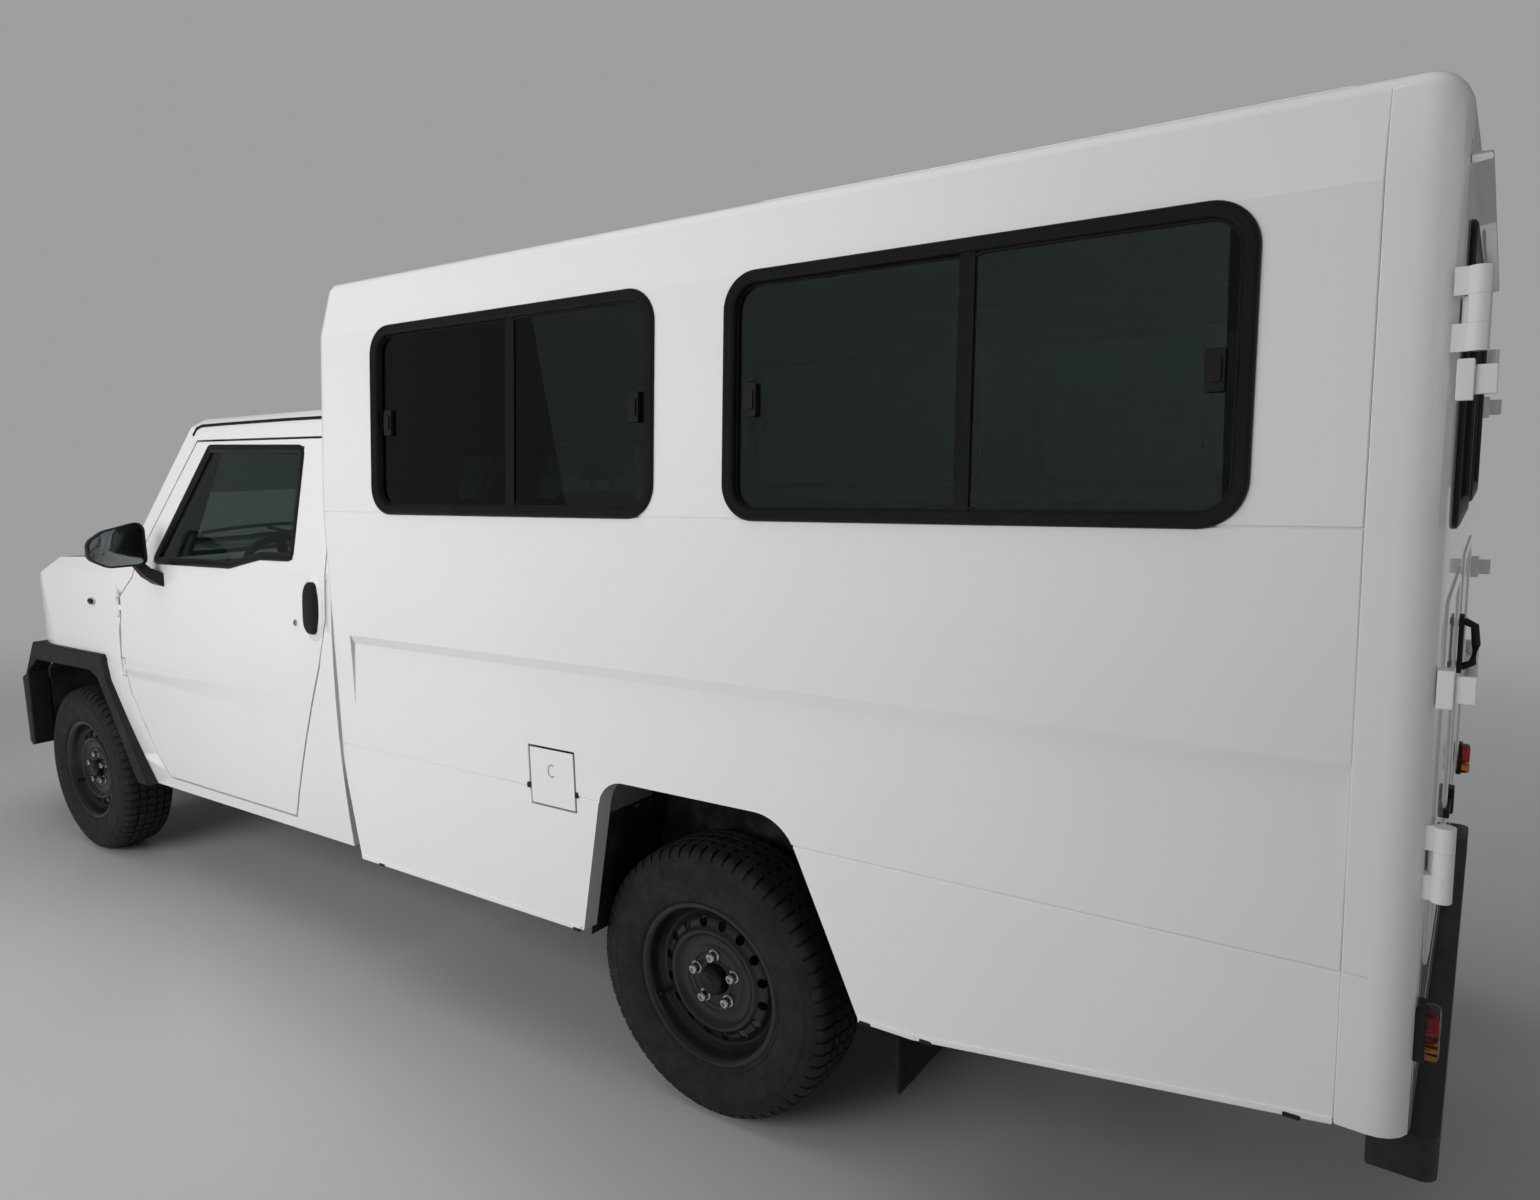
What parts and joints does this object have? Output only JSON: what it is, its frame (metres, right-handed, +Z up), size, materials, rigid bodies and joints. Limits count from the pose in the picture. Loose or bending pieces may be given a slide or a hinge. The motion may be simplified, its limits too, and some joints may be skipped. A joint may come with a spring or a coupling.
{
  "type": "utility van",
  "caption": "Light pickup-cab utility van with a tall windowed box body, hinged doors, steering front wheels and bench seats inside.",
  "frame": {"origin": "centre of the overall length and width at the floor, z = 0 under the tyres", "axes": "+X to the van's left side, +Y to its rear, +Z up"},
  "size_m": [2.144, 5.3416, 2.09],
  "materials": {
    "body_paint": "gloss",
    "inner_paint": "satin",
    "chassis_black": "satin",
    "wheel_black": "gloss",
    "black_plastic": "grained",
    "grey_plastic": "grained",
    "window_rubber": "matt",
    "mud_rubber": "matt",
    "tyre": "matt",
    "dark_glass": "tinted",
    "lamp_clear": "moulded",
    "lamp_red": "gloss",
    "engine_metal": "cast",
    "exhaust_steel": "dull",
    "seat_cloth": "woven",
    "bench_vinyl": "grained"
  },
  "bodies": {
    "chassis": {"frame_rails": "chassis_black", "cross_members": "chassis_black", "cab_shell": "body_paint", "cab_glass": "dark_glass", "nose_wings": "body_paint", "front_bumper": "black_plastic", "wing_flares": "black_plastic", "headlamps": "lamp_clear", "grille": "black_plastic", "powertrain": "engine_metal", "exhaust_front": "exhaust_steel", "silencer": "exhaust_steel", "exhaust": "exhaust_steel", "fuel_tank": "chassis_black", "load_floor": "inner_paint", "wheel_boxes": "inner_paint", "fuel_neck": "black_plastic", "box_side_left": "body_paint", "box_side_right": "body_paint", "box_front_wall": "body_paint", "box_roof": "body_paint", "box_rear_frame": "body_paint", "window_frames": "window_rubber", "window_panes": "dark_glass", "bench_bases": "inner_paint", "bench_cushions": "bench_vinyl", "cab_seats": "seat_cloth", "dashboard": "grey_plastic", "rear_axle": "chassis_black", "rear_springs": "chassis_black", "front_arms": "chassis_black", "spare_wheel": "tyre", "rear_lamps": "lamp_red", "rear_bumper": "body_paint", "mud_flaps": "mud_rubber"},
    "steering_wheel": {"steering_wheel": "grey_plastic"},
    "bonnet": {"bonnet": "body_paint"},
    "fuel_flap": {"fuel_flap": "body_paint"},
    "cab_door_left": {"cab_door_left": "body_paint", "cab_door_glass_left": "dark_glass", "mirror_left": "black_plastic"},
    "cab_door_right": {"cab_door_right": "body_paint", "cab_door_glass_right": "dark_glass", "mirror_right": "black_plastic"},
    "rear_door_left": {"rear_door_left": "body_paint", "rear_door_glass_left": "dark_glass"},
    "rear_door_right": {"rear_door_right": "body_paint", "rear_door_glass_right": "dark_glass"},
    "knuckle_left": {"knuckle_left": "chassis_black"},
    "knuckle_right": {"knuckle_right": "chassis_black"},
    "wheel_front_left": {"rim_front_left": "wheel_black", "tyre_front_left": "tyre"},
    "wheel_front_right": {"rim_front_right": "wheel_black", "tyre_front_right": "tyre"},
    "wheel_rear_left": {"rim_rear_left": "wheel_black", "tyre_rear_left": "tyre"},
    "wheel_rear_right": {"rim_rear_right": "wheel_black", "tyre_rear_right": "tyre"}
  },
  "joints": [
    {"name": "steer_left", "type": "hinge", "parent": "chassis", "child": "knuckle_left", "pos_m": [0.68, -1.83867, 0.328], "axis": [0, -0.0153, 0.9999], "range_deg": [-32, 32]},
    {"name": "steer_right", "type": "hinge", "parent": "chassis", "child": "knuckle_right", "pos_m": [-0.68, -1.83867, 0.328], "axis": [0, -0.0153, 0.9999], "range_deg": [-32, 32]},
    {"name": "steering_wheel_turn", "type": "hinge", "parent": "chassis", "child": "steering_wheel", "pos_m": [0.41, -0.98753, 1.0859], "axis": [0, 0.8398, 0.5428], "range_deg": [-512, 512]},
    {"name": "bonnet_lift", "type": "hinge", "parent": "chassis", "child": "bonnet", "pos_m": [0, -1.45209, 1.1838], "axis": [-1, 0, 0], "range_deg": [0, 50]},
    {"name": "fuel_flap_open", "type": "hinge", "parent": "chassis", "child": "fuel_flap", "pos_m": [0.877, 0.84734, 0.74894], "axis": [0, 0.9999, 0.0153], "range_deg": [0, 70]},
    {"name": "cab_door_left_open", "type": "hinge", "parent": "chassis", "child": "cab_door_left", "pos_m": [0.853, -1.4088, 0.90443], "axis": [0, 0.0153, -0.9999], "range_deg": [0, 65]},
    {"name": "rear_door_left_open", "type": "hinge", "parent": "chassis", "child": "rear_door_left", "pos_m": [0.846, 2.63897, 1.34243], "axis": [0, 0.0153, -0.9999], "range_deg": [0, 180]},
    {"name": "cab_door_right_open", "type": "hinge", "parent": "chassis", "child": "cab_door_right", "pos_m": [-0.853, -1.4088, 0.90443], "axis": [0, -0.0153, 0.9999], "range_deg": [0, 65]},
    {"name": "rear_door_right_open", "type": "hinge", "parent": "chassis", "child": "rear_door_right", "pos_m": [-0.846, 2.63897, 1.34243], "axis": [0, -0.0153, 0.9999], "range_deg": [0, 180]},
    {"name": "wheel_front_left_spin", "type": "hinge", "parent": "knuckle_left", "child": "wheel_front_left", "pos_m": [0.7575, -1.83867, 0.328], "axis": [1, 0, 0], "continuous": true},
    {"name": "wheel_rear_left_spin", "type": "hinge", "parent": "chassis", "child": "wheel_rear_left", "pos_m": [0.725, 1.24633, 0.328], "axis": [1, 0, 0], "continuous": true},
    {"name": "wheel_front_right_spin", "type": "hinge", "parent": "knuckle_right", "child": "wheel_front_right", "pos_m": [-0.7575, -1.83867, 0.328], "axis": [1, 0, 0], "continuous": true},
    {"name": "wheel_rear_right_spin", "type": "hinge", "parent": "chassis", "child": "wheel_rear_right", "pos_m": [-0.725, 1.24633, 0.328], "axis": [1, 0, 0], "continuous": true}
  ],
  "couplings": [
    {"joint": "steer_right", "follows": "steer_left", "ratio": 1},
    {"joint": "steering_wheel_turn", "follows": "steer_left", "ratio": 16}
  ]
}
